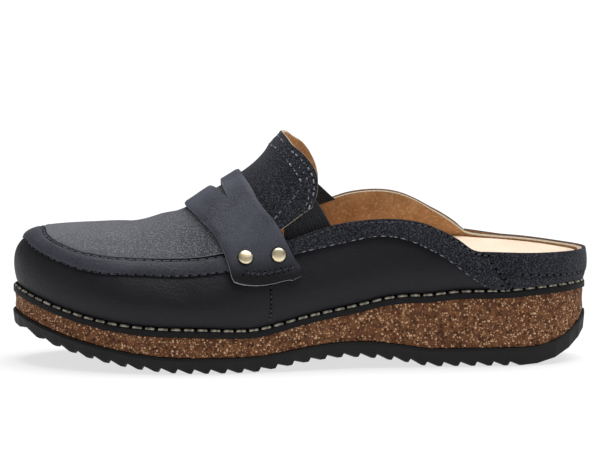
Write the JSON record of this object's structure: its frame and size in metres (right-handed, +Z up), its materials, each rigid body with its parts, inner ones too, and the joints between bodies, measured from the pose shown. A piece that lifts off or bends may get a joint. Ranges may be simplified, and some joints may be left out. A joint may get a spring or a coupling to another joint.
{
  "type": "clog",
  "caption": "Backless loafer clog for the left foot, with a dark navy leather upper, saddle strap, curved tongue, cork midsole and sawtooth rubber outsole.",
  "frame": {"origin": "on the floor below the middle of the clog's length and width", "axes": "+X to the toe, +Y to the wearer's left, which is the clog's outer side, and +Z up"},
  "size_m": [0.2617, 0.0974, 0.1045],
  "materials": {
    "outsole_rubber": "matte",
    "midsole_cork": "matte",
    "rand_leather": "satin",
    "insole_leather": "matte",
    "smooth_leather": "satin",
    "nubuck": "matte",
    "strap_leather": "satin",
    "elastic": "matte",
    "brass": "polished"
  },
  "bodies": {
    "root": {"outsole": "outsole_rubber", "midsole": "midsole_cork", "rand": "rand_leather", "insole": "insole_leather", "upper": "smooth_leather", "apron": "nubuck", "apron_roll": "nubuck", "saddle_strap": "strap_leather", "tongue": "nubuck", "gore_outer": "elastic", "gore_inner": "elastic", "collar_outer": "nubuck", "collar_inner": "nubuck", "heel_cuff": "nubuck", "rivet_outer_front": "brass", "rivet_outer_back": "brass", "rivet_inner_front": "brass", "rivet_inner_back": "brass"}
  },
  "joints": []
}
